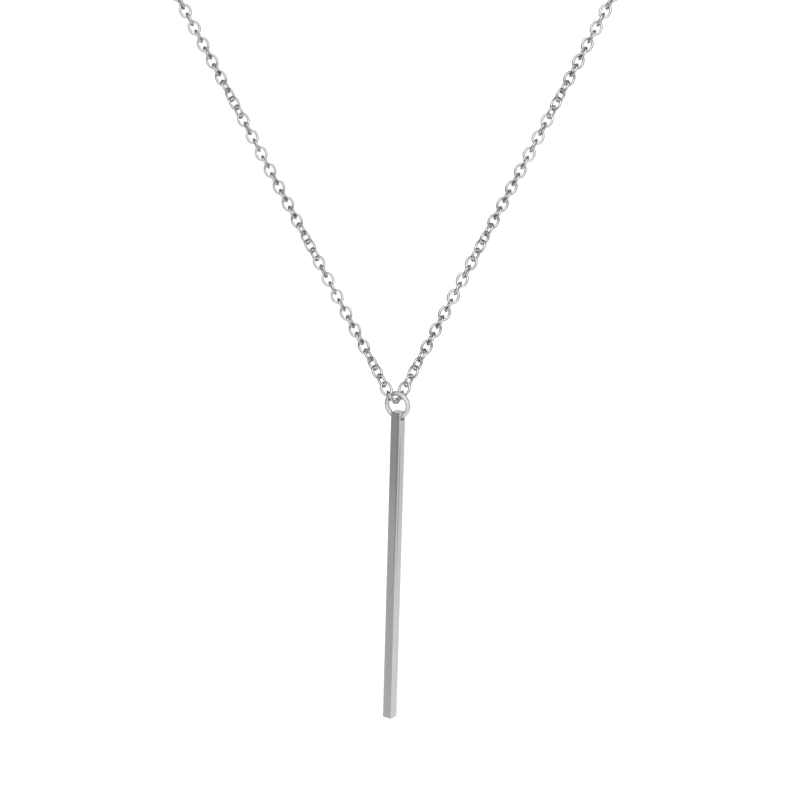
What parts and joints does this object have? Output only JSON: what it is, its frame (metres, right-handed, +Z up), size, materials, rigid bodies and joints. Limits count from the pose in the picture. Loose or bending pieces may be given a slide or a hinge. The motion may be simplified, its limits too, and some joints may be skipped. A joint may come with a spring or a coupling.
{
  "type": "bar pendant necklace",
  "caption": "Square bar pendant on a closed jump ring, hung from the middle link of a fine cable chain that closes behind the neck with a round clasp.",
  "frame": {"origin": "middle of the clasp at the nape, where the necklace hangs when it is worn", "axes": "+Z up, -Y towards the viewer in front of the wearer, +X to the viewer's right"},
  "size_m": [0.116, 0.1126, 0.1549],
  "materials": {
    "bar": "satin, faintly brushed along the bar",
    "ring": "polished silver",
    "chain": "polished silver",
    "clasp": "polished silver"
  },
  "bodies": {
    "chain": {"front_chain": "chain", "neck_chain": "chain", "clasp": "clasp"},
    "ring": {"jump_ring": "ring"},
    "bar": {"bar": "bar"}
  },
  "joints": [
    {"name": "ring_turn", "type": "hinge", "parent": "chain", "child": "ring", "pos_m": [0.00032, -0.10992, -0.1008], "axis": [0.4848, 0.8746, 0], "range_deg": [-75, 75]},
    {"name": "bar_swing", "type": "hinge", "parent": "ring", "child": "bar", "pos_m": [0.00042, -0.10998, -0.10249], "axis": [0.8187, -0.5733, -0.0332], "range_deg": [-90, 90]}
  ]
}
